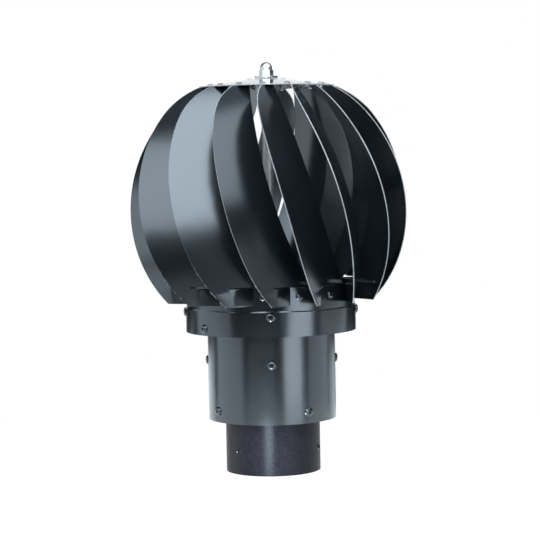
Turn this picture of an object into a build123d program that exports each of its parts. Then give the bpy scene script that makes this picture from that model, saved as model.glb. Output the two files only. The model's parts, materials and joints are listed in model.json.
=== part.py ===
from build123d import *
import math
import os

os.makedirs("parts", exist_ok=True)

# Turbine roof vent in millimetres. The origin is the centre of the spigot's lower rim.
# +Z runs up the spindle. An azimuth is in degrees from the front (-Y), positive towards +X.

# Spigot, reducer and body
spigot_radius = 50.0
spigot_wall = 1.2
spigot_height = 56.0
screw_hole_radius = 2.1
screw_hole_height = 24.5
screw_hole_azimuth = -47.0
screw_hole_count = 3
reducer_wall = 1.0
reducer_bend = 2.0
reducer_neck_height = 12.0
reducer_flange_height = 18.0
body_radius = 67.6
body_wall = 1.0
body_height = 114.0
body_rim_overhang = 2.0
reducer_rivet_rise = 11.6
reducer_rivet_azimuth = -56.6

# Crossed straps, in the body and in the rotor
strap_width = 26.0
strap_thickness = 2.5
strap_bend = 3.0
strap_tab_height = 21.0
strap_rivet_drop = 11.0
base_strap_rise = 73.0
strap_rivet_count = 4

# Spindle and its clamp
shaft_radius = 6.0
journal_radius = 5.0
stud_radius = 5.0
top_thread_radius = 4.0
shaft_chamfer = 0.8
clamp_washer_radius = 10.0
clamp_washer_thickness = 2.0
clamp_nut_across_flats = 17.0
clamp_nut_height = 8.0
stud_end = 2.5
bore_clearance = 0.1

# Collar and ring of the rotor
collar_radius = 90.0
collar_wall = 1.0
collar_height = 26.5
collar_overlap = 21.0
collar_lap_width = 20.0
collar_lap_azimuth = -50.0
seam_rivet_rise = 7.0
ring_wall = 1.0
ring_drop = 14.0
rotor_strap_gap = 5.5
rim_gap = 5.5

# Blades: one bent sheet, repeated round the spindle
blade_count = 15
blade_wall = 1.0
blade_yaw = 32.6
blade_pitch = 8.0
bend_radius = 270.0
bend_centre_across = -171.5
bend_centre_up = -39.3
globe_radius = 146.0
globe_half_height = 152.0
globe_depth = 97.0
globe_rise = 125.4
globe_shoulder = 100.0
inner_edge_setback = 10.5
inner_edge_radius = 200.0
inner_edge_rise = 52.0

# Lower tab, folded on the ring, and the slit above it
tab_height = 18.2
slit_width = 1.8
slit_end_radius = 1.4
slit_reach = 3.0
fold_margin = 3.0
tab_lead_angle = 9.8
tab_land_angle = 10.5
tab_rivet_angle = 6.0

# Upper flange and the crown that covers it
flange_width = 11.0
flange_seat_gap = 0.1
globe_overrise = 4.0
crown_wall = 1.0
crown_slope = 8.2
crown_inset = 11.5
crown_flat_radius = 23.0

# Hub, bushes and the closing nut
hub_flange_radius = 22.0
hub_flange_thickness = 2.5
hub_boss_radius = 12.5
hub_boss_height = 12.0
hub_rivet_circle = 17.5
hub_rivet_count = 4
bush_radius = 8.0
bush_flange_radius = 11.0
bush_flange_thickness = 2.0
running_clearance = 0.05
running_gap = 0.3
thrust_washer_radius = 10.5
thrust_washer_thickness = 1.5
cap_gap = 1.6
cap_washer_radius = 12.0
cap_washer_thickness = 1.8
cap_nut_across_flats = 13.0
cap_nut_hex_height = 6.5
cap_nut_dome_radius = 6.2
cap_nut_height = 15.0
cap_nut_hole_depth = 10.5
cap_thread_length = 9.5
guide_bush_radius = 9.0
guide_flange_radius = 14.0
guide_flange_thickness = 2.0
guide_bush_tail = 4.0
clip_radius = 13.0
clip_thickness = 1.2

# Blind rivets: shank, head radius, head height, head rim, tail radius, tail length
rivet_hole_clearance = 0.05
rivet_tail_clearance = 0.2
mandrel_share = 0.28
dome_share = 0.74
large_rivet = {"shank": 2.4, "head": 4.75, "height": 2.3, "rim": 0.7, "tail": 3.4, "tail_length": 3.0}
small_rivet = {"shank": 2.0, "head": 4.0, "height": 1.7, "rim": 0.5, "tail": 2.9, "tail_length": 2.5}
flat_rivet = {"shank": 1.6, "head": 3.2, "height": 1.1, "rim": 0.4, "tail": 2.3, "tail_length": 2.0}

# Heights that follow from the sizes above
body_bottom = spigot_height
plate_bottom = body_bottom + body_rim_overhang
body_top = body_bottom + body_height
reducer_rivet_height = body_bottom + reducer_rivet_rise
base_strap_top = body_bottom + base_strap_rise
collar_bottom = body_top - collar_overlap
collar_top = collar_bottom + collar_height
rotor_strap_top = body_top + rotor_strap_gap + 2 * strap_thickness
ring_radius = collar_radius - collar_wall
ring_bottom = collar_bottom + ring_drop
blade_bottom = collar_top + rim_gap
tab_top = blade_bottom + tab_height
slit_top = tab_top + slit_width
tab_middle = blade_bottom + tab_height / 2
ring_top = tab_top - ring_wall
globe_centre = blade_bottom + globe_depth
globe_top = globe_centre + globe_rise
globe_top_radius = globe_radius * math.sqrt(1 - (globe_rise / globe_half_height) ** 2)
globe_bottom_radius = globe_radius * math.sqrt(1 - (globe_depth / globe_half_height) ** 2)
crown_radius = globe_top_radius - crown_inset
crown_tangent = math.tan(math.radians(crown_slope))
blade_step = 360 / blade_count
front_angle = 90


def crown_underside(radius):
    return globe_top + (globe_top_radius - radius) * crown_tangent


crown_flat = crown_underside(crown_flat_radius)
hub_bottom = crown_flat - hub_boss_height
bush_bottom = hub_bottom - bush_flange_thickness
shoulder = bush_bottom - running_gap - thrust_washer_thickness
journal_top = crown_flat + crown_wall + cap_gap
cap_seat = journal_top + cap_washer_thickness
shaft_seat = base_strap_top + clamp_washer_thickness
base_strap_bottom = base_strap_top - 2 * strap_thickness
nut_top = base_strap_bottom - clamp_washer_thickness
rotor_strap_bottom = rotor_strap_top - 2 * strap_thickness


def radial_seat(azimuth, radius, height):
    """Plane on a round wall, with its normal pointing straight out of the wall."""
    angle = math.radians(azimuth)
    outward = Vector(math.sin(angle), -math.cos(angle), 0)
    return Plane(origin=outward * radius + Vector(0, 0, height), x_dir=(0, 0, 1), z_dir=outward)


def top_seat(azimuth, radius, height, slope):
    """Plane on top of a disc that falls outwards by the slope, with its normal pointing out of the metal."""
    angle = math.radians(azimuth)
    tilt = math.radians(slope)
    outward = Vector(math.sin(angle), -math.cos(angle), 0)
    normal = outward * math.sin(tilt) + Vector(0, 0, math.cos(tilt))
    tangent = Vector(math.cos(angle), math.sin(angle), 0)
    return Plane(origin=outward * radius + Vector(0, 0, height), x_dir=tangent, z_dir=normal)


def ring_of_seats(count, first, radius, height):
    return [radial_seat(first + index * 360 / count, radius, height) for index in range(count)]


def rivet_group(label, seats, grip, size):
    """Blind rivets on the given seats, through sheets that are grip thick together."""
    hole = size["head"] * mandrel_share
    neck = grip + rivet_tail_clearance
    end = neck + size["tail_length"]
    dome = (size["head"] * dome_share, size["rim"] + (size["height"] - size["rim"]) * dome_share)
    with BuildPart() as rivets:
        for seat in seats:
            with BuildSketch(Plane(origin=seat.origin, x_dir=seat.x_dir, z_dir=-seat.y_dir)):
                with BuildLine():
                    Polyline((0, -end), (size["tail"], -end), (size["tail"], -neck), (size["shank"], -neck))
                    Polyline((size["shank"], -neck), (size["shank"], 0), (size["head"], 0))
                    Line((size["head"], 0), (size["head"], size["rim"]))
                    ThreePointArc((size["head"], size["rim"]), dome, (hole, size["height"]))
                    Polyline((hole, size["height"]), (hole, size["rim"]), (0, size["rim"]), (0, -end))
                make_face()
            revolve(axis=Axis(seat.origin, seat.z_dir))
    rivets.part.label = label
    export_step(rivets.part, f"parts/{label}.step")


def strap(label, upright, top, wall_radius, seats, bore):
    """Flat bar across a round wall, with both ends bent down along the wall and riveted to it."""
    middle = wall_radius - strap_thickness / 2
    level = top - strap_thickness / 2
    foot = top - strap_tab_height
    with BuildPart() as bar:
        with BuildSketch(upright):
            with BuildLine():
                corners = [(-middle, foot), (-middle, level), (middle, level), (middle, foot)]
                FilletPolyline(*corners, radius=strap_bend)
            trace(line_width=strap_thickness)
        extrude(amount=strap_width / 2, both=True)
        with BuildSketch(Plane.XY.offset(foot)):
            Circle(wall_radius)
        extrude(amount=strap_tab_height, mode=Mode.INTERSECT)
        with Locations(Plane.XY.offset(top)):
            Hole(bore)
        with Locations(*seats):
            Hole(large_rivet["shank"] + rivet_hole_clearance, depth=2 * strap_thickness)
    bar.part.label = label
    export_step(bar.part, f"parts/{label}.step")


def washer(label, bottom, thickness, outer, bore):
    with BuildPart() as disc:
        with BuildSketch(Plane.XY.offset(bottom)):
            Circle(outer)
            Circle(bore, mode=Mode.SUBTRACT)
        extrude(amount=thickness)
    disc.part.label = label
    export_step(disc.part, f"parts/{label}.step")


def hex_nut(label, bottom, height, across_flats, bore):
    with BuildPart() as nut:
        with BuildSketch(Plane.XY.offset(bottom)):
            RegularPolygon(across_flats / 2, 6, major_radius=False)
            Circle(bore, mode=Mode.SUBTRACT)
        extrude(amount=height)
    nut.part.label = label
    export_step(nut.part, f"parts/{label}.step")


# Directions of the front blade: across its sheet, level along it, and along the lines that
# stay straight in the bend
yaw = math.radians(blade_yaw)
pitch = math.radians(blade_pitch)
across = Vector(math.cos(yaw), -math.sin(yaw), 0)
inward = Vector(math.sin(yaw), math.cos(yaw), 0)
straight = inward * math.cos(pitch) + Vector(0, 0, math.sin(pitch))
bend_plane = Plane(origin=(0, 0, globe_centre), x_dir=across, z_dir=-straight)
side_plane = Plane(origin=(0, 0, globe_centre), x_dir=inward, z_dir=across)
reach = 2 * globe_radius


def sheet_across(inset, height):
    """How far the middle of the blade's sheet stands from the spindle, at a place along it and a height."""
    up = (height - globe_centre) * math.cos(pitch) + inset * math.sin(pitch)
    return bend_centre_across + math.sqrt(bend_radius**2 - (up - bend_centre_up) ** 2)


# Where the front blade's edges stand: inner edge at the top, lower fold and the tab's land
inner_edge_inset = crown_radius - inner_edge_setback
top_edge_drop = inner_edge_radius - math.sqrt(inner_edge_radius**2 - (globe_rise - inner_edge_rise) ** 2)
top_edge_inset = inner_edge_inset - top_edge_drop
flange_end_inset = math.sqrt(crown_radius**2 - sheet_across(top_edge_inset, globe_top) ** 2)
flange_rivet_inset = (top_edge_inset + flange_end_inset) / 2
fold_across = sheet_across(inner_edge_inset, blade_bottom)
fold_inset = math.sqrt((globe_bottom_radius - fold_margin) ** 2 - fold_across**2)
fold_place = across * sheet_across(fold_inset, tab_middle) - inward * fold_inset
fold_azimuth = math.degrees(math.atan2(fold_place.X, -fold_place.Y))
tab_land_start = fold_azimuth + tab_lead_angle
tab_rivet_azimuth = tab_land_start + tab_rivet_angle

# Rivet seats on the round walls
reducer_seats = ring_of_seats(strap_rivet_count, reducer_rivet_azimuth, body_radius, reducer_rivet_height)
base_strap_seats = ring_of_seats(strap_rivet_count, 0, body_radius, base_strap_top - strap_rivet_drop)
collar_seats = ring_of_seats(strap_rivet_count, 0, collar_radius, rotor_strap_top - strap_rivet_drop)
seam_seat = radial_seat(collar_lap_azimuth, collar_radius, collar_bottom + seam_rivet_rise)
tab_seats = ring_of_seats(blade_count, tab_rivet_azimuth, ring_radius + blade_wall, tab_middle)
large_hole = large_rivet["shank"] + rivet_hole_clearance
small_hole = small_rivet["shank"] + rivet_hole_clearance
flat_hole = flat_rivet["shank"] + rivet_hole_clearance

# Spigot: plain tube with screw holes for the duct
with BuildPart() as spigot:
    with BuildSketch():
        Circle(spigot_radius)
        Circle(spigot_radius - spigot_wall, mode=Mode.SUBTRACT)
    extrude(amount=spigot_height)
    with Locations(*ring_of_seats(screw_hole_count, screw_hole_azimuth, spigot_radius, screw_hole_height)):
        Hole(screw_hole_radius, depth=3 * spigot_wall)
spigot.part.label = "spigot"
export_step(spigot.part, "parts/spigot.step")

# Reducer: pressed ring with a neck inside the spigot and a flange inside the body
with BuildPart() as reducer:
    neck_line = spigot_radius - spigot_wall - reducer_wall / 2
    flange_line = body_radius - body_wall - reducer_wall / 2
    plate_line = plate_bottom + reducer_wall / 2
    with BuildSketch(Plane.XZ):
        with BuildLine():
            FilletPolyline(
                (neck_line, plate_bottom - reducer_neck_height),
                (neck_line, plate_line),
                (flange_line, plate_line),
                (flange_line, plate_bottom + reducer_flange_height),
                radius=reducer_bend,
            )
        trace(line_width=reducer_wall)
    revolve(axis=Axis.Z)
    with Locations(*reducer_seats):
        Hole(large_hole, depth=3 * (body_wall + reducer_wall))
reducer.part.label = "reducer"
export_step(reducer.part, "parts/reducer.step")

# Body tube with the two rows of rivet holes
with BuildPart() as body_tube:
    with BuildSketch(Plane.XY.offset(body_bottom)):
        Circle(body_radius)
        Circle(body_radius - body_wall, mode=Mode.SUBTRACT)
    extrude(amount=body_height)
    with Locations(*reducer_seats, *base_strap_seats):
        Hole(large_hole, depth=3 * body_wall)
body_tube.part.label = "body_tube"
export_step(body_tube.part, "parts/body_tube.step")

# Crossed straps that carry the spindle
stud_hole = stud_radius + bore_clearance
body_bore = body_radius - body_wall
base_strap_seam = base_strap_top - strap_thickness
strap("base_strap_upper", Plane.XZ, base_strap_top, body_bore, base_strap_seats, stud_hole)
strap("base_strap_lower", Plane.YZ, base_strap_seam, body_bore, base_strap_seats, stud_hole)
rivet_group("reducer_rivets", reducer_seats, body_wall + reducer_wall, large_rivet)
rivet_group("base_strap_rivets", base_strap_seats, body_wall + strap_thickness, large_rivet)

# Spindle, turned from bar: clamped stud, shoulder, journal and threaded top
with BuildPart() as shaft:
    with BuildSketch(Plane.XZ):
        with BuildLine():
            Polyline(
                (0, nut_top - clamp_nut_height - stud_end),
                (stud_radius, nut_top - clamp_nut_height - stud_end),
                (stud_radius, shaft_seat),
                (shaft_radius, shaft_seat),
                (shaft_radius, shoulder),
                (journal_radius, shoulder),
                (journal_radius, journal_top),
                (top_thread_radius, journal_top),
                (top_thread_radius, cap_seat + cap_thread_length - shaft_chamfer),
                (top_thread_radius - shaft_chamfer, cap_seat + cap_thread_length),
                (0, cap_seat + cap_thread_length),
                close=True,
            )
        make_face()
    revolve(axis=Axis.Z)
shaft.part.label = "shaft"
export_step(shaft.part, "parts/shaft.step")

washer("shaft_washer_upper", base_strap_top, clamp_washer_thickness, clamp_washer_radius, stud_hole)
washer("shaft_washer_lower", nut_top, clamp_washer_thickness, clamp_washer_radius, stud_hole)
hex_nut("shaft_nut", nut_top - clamp_nut_height, clamp_nut_height, clamp_nut_across_flats, stud_radius)
journal_hole = journal_radius + bore_clearance
thread_hole = top_thread_radius + bore_clearance
washer("thrust_washer", shoulder, thrust_washer_thickness, thrust_washer_radius, journal_hole)
washer("cap_washer", journal_top, cap_washer_thickness, cap_washer_radius, thread_hole)

# Cap nut: hexagon with a domed end over a blind thread
with BuildPart() as cap_nut:
    with BuildSketch(Plane.XY.offset(cap_seat)):
        RegularPolygon(cap_nut_across_flats / 2, 6, major_radius=False)
    extrude(amount=cap_nut_hex_height)
    with BuildSketch(Plane.XZ):
        with BuildLine():
            dome_base = cap_seat + cap_nut_height - cap_nut_dome_radius
            dome = CenterArc((0, dome_base), cap_nut_dome_radius, 0, 90)
            Polyline(dome @ 1, (0, cap_seat), (cap_nut_dome_radius, cap_seat), dome @ 0)
        make_face()
    revolve(axis=Axis.Z)
    with Locations(Plane.XY.offset(cap_seat)):
        Hole(top_thread_radius, depth=cap_nut_hole_depth)
cap_nut.part.label = "cap_nut"
export_step(cap_nut.part, "parts/cap_nut.step")

# Collar: rolled band that overlaps the body, with a lap seam below the ring
with BuildPart() as collar:
    with BuildSketch(Plane.XY.offset(collar_bottom)):
        Circle(collar_radius)
        Circle(ring_radius, mode=Mode.SUBTRACT)
    extrude(amount=collar_height)
    lap_seat = radial_seat(collar_lap_azimuth, 0, collar_bottom + ring_drop / 2)
    with BuildSketch(lap_seat):
        Rectangle(ring_drop, collar_lap_width)
    extrude(amount=ring_radius)
    with BuildSketch(Plane.XY.offset(collar_bottom)):
        Circle(ring_radius - collar_wall)
    extrude(amount=ring_drop, mode=Mode.SUBTRACT)
    with Locations(*collar_seats, seam_seat):
        Hole(large_hole, depth=3 * collar_wall)
collar.part.label = "collar"
export_step(collar.part, "parts/collar.step")

# Ring inside the collar that carries the blades' lower tabs
with BuildPart() as rotor_ring:
    with BuildSketch(Plane.XY.offset(ring_bottom)):
        Circle(ring_radius)
        Circle(ring_radius - ring_wall, mode=Mode.SUBTRACT)
    extrude(amount=ring_top - ring_bottom)
    with Locations(*collar_seats):
        Hole(large_hole, depth=3 * (collar_wall + ring_wall))
    with Locations(*tab_seats):
        Hole(small_hole, depth=3 * (blade_wall + ring_wall))
rotor_ring.part.label = "rotor_ring"
export_step(rotor_ring.part, "parts/rotor_ring.step")

# Crossed straps and the bush that guides the rotor on the spindle
ring_bore = ring_radius - ring_wall
rotor_strap_seam = rotor_strap_top - strap_thickness
strap("rotor_strap_upper", Plane.XZ, rotor_strap_top, ring_bore, collar_seats, guide_bush_radius)
strap("rotor_strap_lower", Plane.YZ, rotor_strap_seam, ring_bore, collar_seats, guide_bush_radius)
rivet_group("collar_rivets", collar_seats, collar_wall + ring_wall + strap_thickness, large_rivet)
rivet_group("seam_rivet", [seam_seat], 2 * collar_wall, large_rivet)
rivet_group("tab_rivets", tab_seats, blade_wall + ring_wall, small_rivet)
washer("bush_clip", rotor_strap_bottom - clip_thickness, clip_thickness, clip_radius, guide_bush_radius)

with BuildPart() as guide_bush:
    with BuildSketch(Plane.XY.offset(rotor_strap_bottom - guide_bush_tail)):
        Circle(guide_bush_radius)
    extrude(amount=rotor_strap_top - rotor_strap_bottom + guide_bush_tail)
    with BuildSketch(Plane.XY.offset(rotor_strap_top)):
        Circle(guide_flange_radius)
    extrude(amount=guide_flange_thickness)
    with Locations(Plane.XY.offset(rotor_strap_top)):
        Hole(shaft_radius + running_clearance)
guide_bush.part.label = "guide_bush"
export_step(guide_bush.part, "parts/guide_bush.step")

# Rivet seats on the crown: on its cone over each blade's flange, and on its flat over the hub
flange_height = crown_underside(crown_radius - flange_width)
flange_across = sheet_across(flange_rivet_inset, flange_height) - flange_width / 2
flange_place = across * flange_across - inward * flange_rivet_inset
flange_radius = math.hypot(flange_place.X, flange_place.Y)
flange_azimuth = math.degrees(math.atan2(flange_place.X, -flange_place.Y))
flange_top = crown_underside(flange_radius) + crown_wall
crown_seats = [
    top_seat(flange_azimuth + index * blade_step, flange_radius, flange_top, crown_slope)
    for index in range(blade_count)
]
hub_seats = [
    top_seat(index * 360 / hub_rivet_count, hub_rivet_circle, crown_flat + crown_wall, 0)
    for index in range(hub_rivet_count)
]


def inner_band(side):
    """Front layer of the thick bent band, on one side of the flange's outer end."""
    with BuildPart() as band:
        with BuildSketch(bend_plane):
            with Locations((bend_centre_across, bend_centre_up)):
                Circle(bend_radius - blade_wall / 2)
                Circle(bend_radius - 2 * flange_width, mode=Mode.SUBTRACT)
        extrude(amount=reach, both=True)
        with BuildSketch(side_plane):
            with Locations((-flange_end_inset, 0)):
                Rectangle(reach, 2 * reach, align=(side, Align.CENTER))
        extrude(amount=reach, both=True, mode=Mode.INTERSECT)
    return band.part


# What is taken off the thick front of the blade, all but its flat flange under the crown
crown_plane = top_seat(flange_azimuth, flange_radius, flange_top - crown_wall - flange_seat_gap, crown_slope)
with BuildPart() as flange_relief:
    add(inner_band(Align.MIN))
    with BuildSketch(crown_plane.offset(-blade_wall)):
        Rectangle(2 * reach, 2 * reach)
    extrude(amount=reach, mode=Mode.SUBTRACT)

# Front blade: bent sheet, cut to a crescent, trimmed by the globe, slit and folded on the ring
with BuildPart() as blade:
    with BuildSketch(bend_plane):
        with Locations((bend_centre_across, bend_centre_up)):
            Circle(bend_radius + blade_wall / 2)
            Circle(bend_radius - flange_width, mode=Mode.SUBTRACT)
        with Locations((globe_radius / 2, 0)):
            Rectangle(globe_radius, 3 * globe_half_height, mode=Mode.INTERSECT)
    extrude(amount=reach, both=True)
    with BuildSketch(side_plane):
        with Locations((inner_edge_radius - inner_edge_inset, inner_edge_rise)):
            Circle(inner_edge_radius)
        with Locations((-fold_inset, slit_top - globe_centre)):
            Rectangle(reach, globe_radius, align=(Align.MIN, Align.MAX))
        with Locations((-fold_inset - slit_reach, slit_top - globe_centre)):
            Rectangle(reach, slit_width, align=(Align.MIN, Align.MAX))
        with Locations((-fold_inset - slit_reach, slit_top - slit_width / 2 - globe_centre)):
            Circle(slit_end_radius)
    extrude(amount=reach, both=True, mode=Mode.SUBTRACT)
    with BuildSketch(Plane.XZ) as globe:
        with BuildLine():
            low = math.degrees(math.asin(-globe_depth / globe_half_height))
            high = math.degrees(math.asin((globe_rise + globe_overrise) / globe_half_height))
            middle = (0, globe_centre)
            edge = EllipticalCenterArc(middle, globe_radius, globe_half_height, low, arc_size=high - low)
            Polyline(edge @ 1, (0, crown_underside(0) + globe_overrise), (0, blade_bottom), edge @ 0)
        make_face()
        fillet(globe.vertices().sort_by_distance(edge @ 1)[0], globe_shoulder)
    revolve(axis=Axis.Z, mode=Mode.INTERSECT)
    with BuildSketch(crown_plane):
        Rectangle(2 * reach, 2 * reach)
    extrude(amount=reach, mode=Mode.SUBTRACT)
    add(flange_relief.part, mode=Mode.SUBTRACT)
    add(inner_band(Align.MAX), mode=Mode.SUBTRACT)
    with BuildSketch(Plane.XY.offset(blade_bottom)):
        with BuildLine():
            land_start = tab_land_start - front_angle
            inside = CenterArc((0, 0), ring_radius, land_start, tab_land_angle)
            outside = CenterArc((0, 0), ring_radius + blade_wall, land_start, tab_land_angle)
            Line(inside @ 0, outside @ 0)
            Line(inside @ 1, outside @ 1)
        make_face()
    extrude(amount=tab_height)
    fold_face = blade.faces().filter_by(Axis((0, 0, 0), inward))[0]
    land_face = blade.faces().filter_by(Axis((0, 0, 0), inside % 0))[0]
    loft([fold_face, land_face], ruled=True)
    with Locations(tab_seats[0]):
        Hole(small_hole, depth=3 * blade_wall)
    with Locations(crown_seats[0]):
        Hole(flat_hole, depth=3 * blade_wall)

for index in range(blade_count):
    with BuildPart() as blade_copy:
        add(blade.part, rotation=(0, 0, index * blade_step))
    blade_copy.part.label = f"blade_{index + 1:02d}"
    export_step(blade_copy.part, f"parts/blade_{index + 1:02d}.step")

# Crown: shallow cone with a flat centre, riveted to the blades' flanges and to the hub
with BuildPart() as crown:
    with BuildSketch(Plane.XZ):
        with BuildLine():
            Polyline(
                (bush_radius, crown_flat),
                (crown_flat_radius, crown_flat),
                (crown_radius, crown_underside(crown_radius)),
                (crown_radius, crown_underside(crown_radius) + crown_wall),
                (crown_flat_radius, crown_flat + crown_wall),
                (bush_radius, crown_flat + crown_wall),
                close=True,
            )
        make_face()
    revolve(axis=Axis.Z)
    with Locations(*crown_seats, *hub_seats):
        Hole(flat_hole, depth=3 * crown_wall)
crown.part.label = "crown"
export_step(crown.part, "parts/crown.step")
rivet_group("crown_rivets", crown_seats, crown_wall + blade_wall, flat_rivet)

# Hub under the crown with its pressed-in bush
with BuildPart() as hub:
    with BuildSketch(Plane.XY.offset(crown_flat)):
        Circle(hub_flange_radius)
    extrude(amount=-hub_flange_thickness)
    with BuildSketch(Plane.XY.offset(crown_flat)):
        Circle(hub_boss_radius)
    extrude(amount=-hub_boss_height)
    with Locations(Plane.XY.offset(crown_flat)):
        Hole(bush_radius)
    with Locations(*hub_seats):
        Hole(flat_hole, depth=2 * hub_flange_thickness)
hub.part.label = "hub"
export_step(hub.part, "parts/hub.step")
rivet_group("hub_rivets", hub_seats, crown_wall + hub_flange_thickness, flat_rivet)

with BuildPart() as top_bush:
    with BuildSketch(Plane.XY.offset(bush_bottom)):
        Circle(bush_flange_radius)
    extrude(amount=bush_flange_thickness)
    with BuildSketch(Plane.XY.offset(hub_bottom)):
        Circle(bush_radius)
    extrude(amount=hub_boss_height + crown_wall)
    with Locations(Plane.XY.offset(hub_bottom)):
        Hole(journal_radius + running_clearance)
top_bush.part.label = "top_bush"
export_step(top_bush.part, "parts/top_bush.step")
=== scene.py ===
import json
import math
import bpy
import bmesh
from mathutils import Vector, Matrix


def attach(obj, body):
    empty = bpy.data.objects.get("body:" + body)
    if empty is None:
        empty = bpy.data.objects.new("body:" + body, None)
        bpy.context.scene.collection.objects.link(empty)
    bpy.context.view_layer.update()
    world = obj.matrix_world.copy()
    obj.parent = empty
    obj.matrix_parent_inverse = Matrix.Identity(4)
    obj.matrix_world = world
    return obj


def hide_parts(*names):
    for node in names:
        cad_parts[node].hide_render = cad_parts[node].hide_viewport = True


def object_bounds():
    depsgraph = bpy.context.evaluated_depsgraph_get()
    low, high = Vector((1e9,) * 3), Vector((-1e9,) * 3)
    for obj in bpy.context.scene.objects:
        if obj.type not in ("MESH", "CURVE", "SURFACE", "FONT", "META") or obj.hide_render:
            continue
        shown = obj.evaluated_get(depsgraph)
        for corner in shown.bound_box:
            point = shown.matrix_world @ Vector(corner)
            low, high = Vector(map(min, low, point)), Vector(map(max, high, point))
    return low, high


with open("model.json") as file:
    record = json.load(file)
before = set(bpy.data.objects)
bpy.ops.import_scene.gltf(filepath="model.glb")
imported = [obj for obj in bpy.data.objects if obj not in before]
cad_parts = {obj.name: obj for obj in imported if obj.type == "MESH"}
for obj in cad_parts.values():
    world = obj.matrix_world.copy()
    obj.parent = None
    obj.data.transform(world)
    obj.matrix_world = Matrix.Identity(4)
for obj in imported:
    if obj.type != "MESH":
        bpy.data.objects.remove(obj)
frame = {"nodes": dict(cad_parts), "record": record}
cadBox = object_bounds()
nodes = frame["nodes"]
record = frame["record"]
bodyOf = {node: body for body, members in record["behaviour"]["bodies"].items() for node in members}
slotOf = {part["node"]: part["material_slot"] for part in record["subparts"]}
print("frame loaded:", len(nodes), "nodes")


# shader helpers

def newMaterial(name):
    mat = bpy.data.materials.new(name)
    mat.use_nodes = True
    tree = mat.node_tree
    shader = tree.nodes["Principled BSDF"]
    coord = tree.nodes.new("ShaderNodeTexCoord")
    return mat, tree, shader, coord


def addNoise(tree, coord, scale, detail=3.0, rough=0.5, stretch=None):
    noise = tree.nodes.new("ShaderNodeTexNoise")
    noise.inputs["Scale"].default_value = scale
    noise.inputs["Detail"].default_value = detail
    noise.inputs["Roughness"].default_value = rough
    source = coord.outputs["Object"]
    if stretch:
        mapping = tree.nodes.new("ShaderNodeMapping")
        mapping.inputs["Scale"].default_value = stretch
        tree.links.new(source, mapping.inputs["Vector"])
        source = mapping.outputs["Vector"]
    tree.links.new(source, noise.inputs["Vector"])
    return noise


def addRamp(tree, source, stops):
    ramp = tree.nodes.new("ShaderNodeValToRGB")
    ramp.color_ramp.elements[0].position = stops[0][0]
    ramp.color_ramp.elements[0].color = (*stops[0][1], 1)
    ramp.color_ramp.elements[1].position = stops[-1][0]
    ramp.color_ramp.elements[1].color = (*stops[-1][1], 1)
    for pos, colour in stops[1:-1]:
        ramp.color_ramp.elements.new(pos).color = (*colour, 1)
    tree.links.new(source, ramp.inputs["Fac"])
    return ramp


def addRange(tree, source, low, high):
    rng = tree.nodes.new("ShaderNodeMapRange")
    rng.inputs["To Min"].default_value = low
    rng.inputs["To Max"].default_value = high
    tree.links.new(source, rng.inputs["Value"])
    return rng


def addBump(tree, shader, source, strength, distance, under=None):
    bump = tree.nodes.new("ShaderNodeBump")
    bump.inputs["Strength"].default_value = strength
    bump.inputs["Distance"].default_value = distance
    tree.links.new(source, bump.inputs["Height"])
    if under:
        tree.links.new(under.outputs["Normal"], bump.inputs["Normal"])
    tree.links.new(bump.outputs["Normal"], shader.inputs["Normal"])
    return bump


# finishes

paint = {"dark": (0.004, 0.005, 0.006), "light": (0.008, 0.010, 0.012), "rough": (0.20, 0.27), "ior": 1.7,
         "tint": (0.78, 0.91, 1.0), "coat": 0.9, "coatRough": 0.22, "coatIor": 1.65,
         "crownRough": (0.05, 0.09), "crownCoatRough": 0.04,  # flat pressing, smoother than the blades
         "cloud": 22.0, "cloudRough": 0.55, "peel": 900.0, "peelStrength": 0.03, "peelDepth": 0.0002,
         "ripple": 15.0, "rippleDepth": 0.0007}


def blackPaint(name, rough, coatRough):
    mat, tree, shader, coord = newMaterial(name)
    cloud = addNoise(tree, coord, paint["cloud"], 4.0, paint["cloudRough"])
    tone = addRamp(tree, cloud.outputs["Fac"], [(0.3, paint["dark"]), (0.7, paint["light"])])
    tree.links.new(tone.outputs["Color"], shader.inputs["Base Color"])
    wear = addRange(tree, cloud.outputs["Fac"], *rough)
    tree.links.new(wear.outputs["Result"], shader.inputs["Roughness"])
    shader.inputs["IOR"].default_value = paint["ior"]
    shader.inputs["Specular Tint"].default_value = (*paint["tint"], 1)
    shader.inputs["Coat Weight"].default_value = paint["coat"]
    shader.inputs["Coat Roughness"].default_value = coatRough
    shader.inputs["Coat IOR"].default_value = paint["coatIor"]
    shader.inputs["Coat Tint"].default_value = (*paint["tint"], 1)
    ripple = addNoise(tree, coord, paint["ripple"], 2.0)  # thin sheet is never quite flat
    wave = addBump(tree, shader, ripple.outputs["Fac"], 1.0, paint["rippleDepth"])
    peel = addNoise(tree, coord, paint["peel"], 2.0)
    bump = addBump(tree, shader, peel.outputs["Fac"], paint["peelStrength"], paint["peelDepth"], wave)
    tree.links.new(bump.outputs["Normal"], shader.inputs["Coat Normal"])
    return mat


powder = {"dark": (0.002, 0.002, 0.004), "light": (0.024, 0.022, 0.036), "rough": 0.48, "ior": 1.45,
          "tint": (0.82, 0.92, 1.0), "stretch": 0.92, "upright": 0.25,
          "grain": 650.0, "grainStrength": 0.12, "grainDepth": 0.0003}


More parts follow.
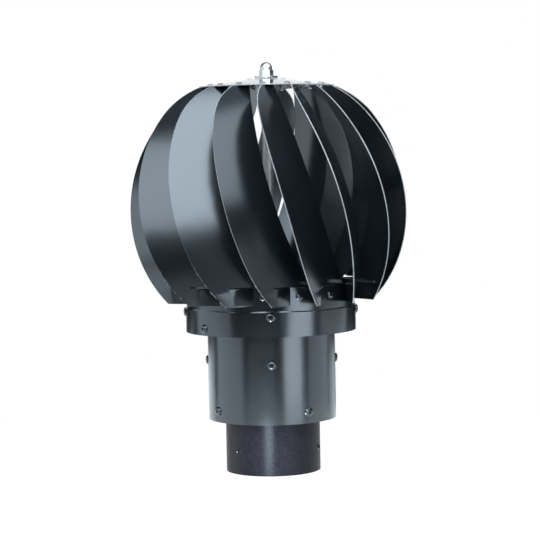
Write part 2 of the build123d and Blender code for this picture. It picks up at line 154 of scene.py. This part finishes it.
def powderCoat():  # fine-grained coat with the up-and-down sheen of rolled sheet
    mat, tree, shader, coord = newMaterial("powderCoat")
    grain = addNoise(tree, coord, powder["grain"], 3.0, 0.6)
    tone = addRamp(tree, grain.outputs["Fac"], [(0.35, powder["dark"]), (0.7, powder["light"])])
    tree.links.new(tone.outputs["Color"], shader.inputs["Base Color"])
    shader.inputs["Roughness"].default_value = powder["rough"]
    shader.inputs["IOR"].default_value = powder["ior"]
    shader.inputs["Specular Tint"].default_value = (*powder["tint"], 1)
    shader.inputs["Anisotropic"].default_value = powder["stretch"]
    shader.inputs["Anisotropic Rotation"].default_value = powder["upright"]
    tangent = tree.nodes.new("ShaderNodeTangent")
    tangent.direction_type = "RADIAL"
    tangent.axis = "Z"
    tree.links.new(tangent.outputs["Tangent"], shader.inputs["Tangent"])
    addBump(tree, shader, grain.outputs["Fac"], powder["grainStrength"], powder["grainDepth"])
    return mat


cutMetal = {"dull": (0.28, 0.30, 0.32), "bright": (0.52, 0.55, 0.58), "metallic": 0.1, "rough": 0.5,
            "burrAndGlint": 700.0, "burrStrength": 0.3, "burrDepth": 0.0002}


def cutEdge():  # bare zinc where the painted sheet was sheared
    mat, tree, shader, coord = newMaterial("cutEdge")
    burrAndGlint = addNoise(tree, coord, cutMetal["burrAndGlint"], 3.0, 0.6)
    tone = addRamp(tree, burrAndGlint.outputs["Fac"], [(0.35, cutMetal["dull"]), (0.65, cutMetal["bright"])])
    tree.links.new(tone.outputs["Color"], shader.inputs["Base Color"])
    shader.inputs["Metallic"].default_value = cutMetal["metallic"]
    shader.inputs["Roughness"].default_value = cutMetal["rough"]
    addBump(tree, shader, burrAndGlint.outputs["Fac"], cutMetal["burrStrength"], cutMetal["burrDepth"])
    return mat


spangle = {"dull": (0.62, 0.64, 0.65), "bright": (0.80, 0.82, 0.83), "rough": (0.28, 0.45), "cells": 130.0}


def galvanised():
    mat, tree, shader, coord = newMaterial("galvanised")
    cells = tree.nodes.new("ShaderNodeTexVoronoi")
    cells.inputs["Scale"].default_value = spangle["cells"]
    tree.links.new(coord.outputs["Object"], cells.inputs["Vector"])
    tone = addRamp(tree, cells.outputs["Color"], [(0.0, spangle["dull"]), (1.0, spangle["bright"])])
    tree.links.new(tone.outputs["Color"], shader.inputs["Base Color"])
    shader.inputs["Metallic"].default_value = 1.0
    rough = addRange(tree, cells.outputs["Distance"], *spangle["rough"])
    tree.links.new(rough.outputs["Result"], shader.inputs["Roughness"])
    return mat


zinc = {"dull": (0.66, 0.68, 0.70), "bright": (0.86, 0.88, 0.90), "rough": (0.34, 0.46),
        "turning": (420.0, 420.0, 60.0)}


def zincPlate():  # fine draw marks run up the spindle
    mat, tree, shader, coord = newMaterial("zincPlate")
    marks = addNoise(tree, coord, 1.0, 3.0, 0.5, zinc["turning"])
    tone = addRamp(tree, marks.outputs["Fac"], [(0.3, zinc["dull"]), (0.7, zinc["bright"])])
    tree.links.new(tone.outputs["Color"], shader.inputs["Base Color"])
    shader.inputs["Metallic"].default_value = 1.0
    rough = addRange(tree, marks.outputs["Fac"], *zinc["rough"])
    tree.links.new(rough.outputs["Result"], shader.inputs["Roughness"])
    return mat


bush = {"dark": (0.62, 0.60, 0.54), "light": (0.70, 0.68, 0.62), "rough": 0.45, "mottle": 180.0}


def acetal():
    mat, tree, shader, coord = newMaterial("acetal")
    mottle = addNoise(tree, coord, bush["mottle"], 2.0)
    tone = addRamp(tree, mottle.outputs["Fac"], [(0.3, bush["dark"]), (0.7, bush["light"])])
    tree.links.new(tone.outputs["Color"], shader.inputs["Base Color"])
    shader.inputs["Roughness"].default_value = bush["rough"]
    return mat


finishes = {"black_paint": blackPaint("blackPaint", paint["rough"], paint["coatRough"]),
            "powder_coat": powderCoat(), "galvanised": galvanised(),
            "zinc_plate": zincPlate(), "bush_plastic": acetal()}
bareEdge = cutEdge()
crownPaint = blackPaint("crownPaint", paint["crownRough"], paint["crownCoatRough"])
for name, obj in nodes.items():
    obj.data.materials.clear()
    obj.data.materials.append(finishes[slotOf[name]])
nodes["crown_rivets"].data.materials[0] = finishes["zinc_plate"]  # bare blind rivets
print("finishes ready:", len(finishes) + 2)


# painted sheet with bare cut edges

sheet = {"sharp": 32.0, "widest": 0.0016, "weld": 0.000005, "level": 0.985}


def markSharp(bm, angle):
    for face in bm.faces:
        face.smooth = True
    for edge in bm.edges:
        edge.smooth = edge.is_manifold and edge.calc_face_angle(0.0) < math.radians(angle)


def smoothPatches(bm):  # faces that run into each other without a crease, level ones apart
    done = set()
    for start in bm.faces:
        if start in done:
            continue
        patch = [start]
        done.add(start)
        rim = 0.0
        for face in patch:
            for edge in face.edges:
                if not edge.smooth:
                    rim += edge.calc_length()
                    continue
                for other in edge.link_faces:
                    alike = (other.normal.z > sheet["level"]) == (face.normal.z > sheet["level"])
                    if alike and other not in done:
                        done.add(other)
                        patch.append(other)
        yield patch, rim


def markCutEdges(bm):  # patches no wider than the sheet is thick
    for patch, rim in smoothPatches(bm):
        if 2 * sum(face.calc_area() for face in patch) < sheet["widest"] * rim:
            for face in patch:
                face.material_index = 1


bladeEdge = {"thick": 0.001, "yaw": 32.6, "pitch": 8.0, "step": 24.0, "furthest": 0.003,
             "outward": 0.25, "flat": 0.2}


def squareEdge(bm, index):  # shears the outer edge square to the sheet, as a guillotine leaves it
    turn = math.radians(index * bladeEdge["step"] - bladeEdge["yaw"])
    pitch = math.radians(bladeEdge["pitch"])
    out = Vector((math.sin(turn) * math.cos(pitch), -math.cos(turn) * math.cos(pitch), -math.sin(pitch)))
    moves = {}
    for vert in bm.verts:
        rims = [f.normal for f in vert.link_faces
                if f.material_index == 1 and f.normal.dot(out) > bladeEdge["outward"]]
        sides = [f.normal for f in vert.link_faces if f.material_index == 0]
        if not rims or not sides:
            continue
        rim = sum(rims, Vector()).normalized()
        side = sum(sides, Vector()).normalized()
        if side.x * vert.co.x + side.y * vert.co.y > 0 or abs(side.dot(out)) > bladeEdge["flat"]:
            continue
        back = bladeEdge["thick"] * max(0.0, -side.dot(rim)) / rim.dot(out)
        moves[vert] = min(back, bladeEdge["furthest"])
    for vert, back in moves.items():
        vert.co -= out * back


def sheetCopy(name, shape=None, finish=None):
    source = nodes[name]
    bm = bmesh.new()
    bm.from_mesh(source.data)
    bmesh.ops.remove_doubles(bm, verts=bm.verts, dist=sheet["weld"])
    markSharp(bm, sheet["sharp"])
    markCutEdges(bm)
    if shape:
        shape(bm)
    mesh = bpy.data.meshes.new(name + "Sheet")
    bm.to_mesh(mesh)
    bm.free()
    mesh.materials.append(finish or finishes[slotOf[name]])
    mesh.materials.append(bareEdge)
    piece = bpy.data.objects.new(name + "Sheet", mesh)
    bpy.context.scene.collection.objects.link(piece)
    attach(piece, bodyOf[name])
    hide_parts(name)


collarRim = {"wave": 0.0004, "lift": 0.0003, "band": 0.004, "crimp": 0.0012, "tuck": 0.0005,
             "swings": ((1.0, 5, 0.6), (0.6, 11, 2.0)), "dips": (7, 1.1)}  # swings: size, turns, phase


def waveRim(bm):  # the rolled band's top edge is tucked in and a little out of true
    top = max(v.co.z for v in bm.verts)
    cut = bmesh.ops.bisect_plane(bm, geom=bm.verts[:] + bm.edges[:] + bm.faces[:],
                                 plane_co=(0, 0, top - collarRim["crimp"]), plane_no=(0, 0, 1))
    for part in cut["geom_cut"]:
        if isinstance(part, bmesh.types.BMEdge):
            part.smooth = False
    outside = max(math.hypot(v.co.x, v.co.y) for v in bm.verts)
    for vert in bm.verts:
        onRim = vert.co.z > top - collarRim["crimp"] / 2
        if onRim and math.hypot(vert.co.x, vert.co.y) > outside - collarRim["tuck"]:
            vert.co -= Vector((vert.co.x, vert.co.y, 0)).normalized() * collarRim["tuck"]
    dips, dipPhase = collarRim["dips"]
    for vert in bm.verts:
        share = max(0.0, 1 - (top - vert.co.z) / collarRim["band"])
        if share > 0:
            turn = math.atan2(vert.co.x, -vert.co.y)
            swing = sum(size * math.sin(turns * turn + phase) for size, turns, phase in collarRim["swings"])
            out = Vector((vert.co.x, vert.co.y, 0)).normalized()
            vert.co += out * (swing * collarRim["wave"] * share)
            vert.co.z += (math.sin(dips * turn + dipPhase) - 1.0) * collarRim["lift"] * share


def makeSheets():
    for name in nodes:
        if name.startswith("blade_"):
            index = int(name[-2:]) - 1
            sheetCopy(name, lambda bm: squareEdge(bm, index))
    sheetCopy("collar", waveRim)
    sheetCopy("crown", finish=crownPaint)
    print("sheets with bare edges ready")


makeSheets()


# raised lips round the spigot's screw holes

holeLip = {"azimuth": -47.0, "count": 3, "height": 0.0245, "wall": 0.050, "hole": 0.0021, "outer": 0.0034,
           "rise": 0.0009, "crest": 0.0004, "sunk": 0.0006, "steps": 28, "weld": 0.000001, "sharp": 40.0,
           "burrAndGlint": 0.0013, "glintPlace": (-0.0018, -0.0012)}


def makeHoleLips():
    bm = bmesh.new()
    inner, outer, rise, sunk = holeLip["hole"], holeLip["outer"], holeLip["rise"], holeLip["sunk"]
    profile = [(inner, -sunk), (inner, rise), (inner + holeLip["crest"], rise), (outer, 0.0), (outer, -sunk)]
    glintSpots = []
    for index in range(holeLip["count"]):
        turn = math.radians(holeLip["azimuth"] + index * 360 / holeLip["count"])
        seat = Matrix.Translation((0, -holeLip["wall"], holeLip["height"]))
        place = Matrix.Rotation(turn, 4, "Z") @ seat @ Matrix.Rotation(math.radians(90), 4, "X")
        # the same spot at the lower left of every hole gets bare metal: a drill burr and a painted glint
        glintSpots.append(place @ Vector((*holeLip["glintPlace"], rise)))
        line = [bm.verts.new(place @ Vector((r, 0, z))) for r, z in profile]
        loop = [bm.edges.new((line[k], line[(k + 1) % len(line)])) for k in range(len(line))]
        bmesh.ops.spin(bm, geom=line + loop, cent=place.translation, axis=place.to_3x3() @ Vector((0, 0, 1)),
                       angle=math.tau, steps=holeLip["steps"], use_merge=True, use_duplicate=False)
    bmesh.ops.remove_doubles(bm, verts=bm.verts, dist=holeLip["weld"])
    bmesh.ops.recalc_face_normals(bm, faces=bm.faces)
    markSharp(bm, holeLip["sharp"])
    for face in bm.faces:
        middle = face.calc_center_median()
        if min((middle - burrAndGlint).length for burrAndGlint in glintSpots) < holeLip["burrAndGlint"]:
            face.material_index = 1  # bare metal where the drill lifted the coat, put at the lower left of each hole as a painted glint
    mesh = bpy.data.meshes.new("screwHoleLips")
    bm.to_mesh(mesh)
    bm.free()
    mesh.materials.append(finishes["powder_coat"])
    mesh.materials.append(bareEdge)
    piece = bpy.data.objects.new("screwHoleLips", mesh)
    bpy.context.scene.collection.objects.link(piece)
    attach(piece, "base")
    print("screw hole lips ready")


makeHoleLips()


# stage

studio = {"floorRadius": 0.5, "floorSides": 96, "floorColour": (0.14, 0.14, 0.14), "floorRough": 0.9,
          "floorGlow": 0.96, "ambient": 0.35, "roomRadius": 4.0, "roomSides": 90, "roomHeight": 5.0,
          "roomBelow": 1.0, "roomColour": (0.02, 0.02, 0.02), "backOpening": 16.0}


def seenDirectly(tree):  # 1 where the camera, a reflection or glass looks straight at it
    path = tree.nodes.new("ShaderNodeLightPath")
    seen = path.outputs["Is Camera Ray"]
    for kind in ("Is Glossy Ray", "Is Transmission Ray"):
        either = tree.nodes.new("ShaderNodeMath")
        either.operation = "MAXIMUM"
        tree.links.new(seen, either.inputs[0])
        tree.links.new(path.outputs[kind], either.inputs[1])
        seen = either.outputs[0]
    return seen


def floorMaterial():
    mat = bpy.data.materials.new("paleFloor")
    mat.use_nodes = True
    tree = mat.node_tree
    shader = tree.nodes["Principled BSDF"]
    shader.inputs["Base Color"].default_value = (*studio["floorColour"], 1)
    shader.inputs["Roughness"].default_value = studio["floorRough"]
    shader.inputs["Specular IOR Level"].default_value = 0.0
    shader.inputs["Emission Color"].default_value = (1, 1, 1, 1)
    glow = addRange(tree, seenDirectly(tree), 0.0, studio["floorGlow"])
    tree.links.new(glow.outputs["Result"], shader.inputs["Emission Strength"])
    return mat


def stageObject(name, bm, mat):
    mesh = bpy.data.meshes.new(name)
    bm.to_mesh(mesh)
    bm.free()
    mesh.materials.append(mat)
    obj = bpy.data.objects.new(name, mesh)
    obj.location.z = cadBox[0][2]
    bpy.context.scene.collection.objects.link(obj)
    return obj


def makeFloor():
    bm = bmesh.new()
    bmesh.ops.create_circle(bm, cap_ends=True, segments=studio["floorSides"], radius=studio["floorRadius"])
    stageObject("floor", bm, floorMaterial())


def makeRoom():  # dark studio walls, open behind the object
    bm = bmesh.new()
    radius, height = studio["roomRadius"], studio["roomHeight"]
    place = Matrix.Translation((0, 0, height / 2 - studio["roomBelow"]))
    bmesh.ops.create_cone(bm, cap_ends=True, segments=studio["roomSides"], radius1=radius, radius2=radius,
                          depth=height, matrix=place)
    behind = []
    for face in bm.faces:
        middle = face.calc_center_median()
        turn = math.degrees(math.atan2(middle.x, middle.y))
        if abs(face.normal.z) < 0.5 and abs(turn) < studio["backOpening"]:
            behind.append(face)
    bmesh.ops.delete(bm, geom=behind, context="FACES")
    mat = bpy.data.materials.new("darkWall")
    mat.use_nodes = True
    shader = mat.node_tree.nodes["Principled BSDF"]
    shader.inputs["Base Color"].default_value = (*studio["roomColour"], 1)
    shader.inputs["Roughness"].default_value = 1.0
    shader.inputs["Specular IOR Level"].default_value = 0.0
    room = stageObject("darkRoom", bm, mat)
    room.visible_camera = False


def makeWorld():
    world = bpy.data.worlds.new("studio")
    bpy.context.scene.world = world
    world.use_nodes = True
    tree = world.node_tree
    back = tree.nodes["Background"]
    back.inputs["Color"].default_value = (1, 1, 1, 1)
    level = addRange(tree, seenDirectly(tree), studio["ambient"], 1.0)
    tree.links.new(level.outputs["Result"], back.inputs["Strength"])


# each panel: azimuth and elevation from the globe, distance, width, height, glow (1 is white paper)
lamps = {"keyPanel": (5, 45, 1.5, 1.15, 1.9, 4.3),
         "leftKey": (-37, 29, 1.5, 1.1, 1.1, 2.7),
         "sidePanel": (66, 41, 1.4, 0.95, 0.95, 1.9),
         "rightStrip": (38, -9, 1.1, 0.62, 0.5, 3.0),
         "leftPanel": (-96, 8, 1.3, 1.3, 0.6, 1.3),
         "frontApron": (-18, -19, 1.06, 0.9, 0.22, 0.4),
         "spigotStrip": (-9, -62.0, 0.301, 0.034, 0.03, 68.0),
         "leftApron": (-82, -17, 1.06, 1.2, 0.32, 1.0),
         "backLeftApron": (-142, -19, 1.06, 0.7, 0.18, 1.2),
         "rightLow": (92, -14, 1.1, 1.0, 0.2, 1.0),
         "backRightApron": (138, -19, 1.06, 0.6, 0.18, 0.9),
         "rightTop": (128, 55, 1.4, 0.8, 0.8, 0.5),
         "leftTop": (-50, 70, 1.4, 0.6, 0.5, 0.4),
         "rimLight": (100, 25, 1.5, 0.8, 0.8, 4.2)}
notMirrored = ("rimLight",)  # lights the cut edges only
lampColour = (0.90, 0.96, 1.0)
lampTarget = Vector((0, 0, 0.28))


def fromFront(azimuth, elevation, distance):
    side = math.radians(azimuth)
    up = math.radians(elevation)
    return Vector((math.sin(side) * math.cos(up), -math.cos(side) * math.cos(up), math.sin(up))) * distance


def makeLamps():
    for name, (azimuth, elevation, distance, wide, tall, glow) in lamps.items():
        light = bpy.data.lights.new(name, "AREA")
        light.shape = "RECTANGLE"
        light.size = wide
        light.size_y = tall
        light.color = lampColour
        light.energy = glow * math.pi * wide * tall
        obj = bpy.data.objects.new(name, light)
        obj.location = lampTarget + fromFront(azimuth, elevation, distance)
        obj.rotation_euler = (lampTarget - obj.location).to_track_quat("-Z", "Y").to_euler()
        obj.visible_camera = False
        obj.visible_glossy = name not in notMirrored
        bpy.context.scene.collection.objects.link(obj)


shot = {"distance": 1.964, "height": 0.3346, "pitch": 3.571, "roll": -1.1, "lens": 123.87, "sensor": 36.0}


def makeCamera():
    data = bpy.data.cameras.new("camera")
    data.sensor_width = shot["sensor"]
    data.lens = shot["lens"]
    obj = bpy.data.objects.new("camera", data)
    obj.location = (0, -shot["distance"], shot["height"])
    tilt = Matrix.Rotation(math.radians(90 - shot["pitch"]), 4, "X")
    obj.rotation_euler = (tilt @ Matrix.Rotation(math.radians(shot["roll"]), 4, "Z")).to_euler()
    bpy.context.scene.collection.objects.link(obj)
    bpy.context.scene.camera = obj


makeRoom()
makeFloor()
makeWorld()
makeLamps()
makeCamera()
bpy.context.scene.view_settings.view_transform = "Standard"
print("stage set")
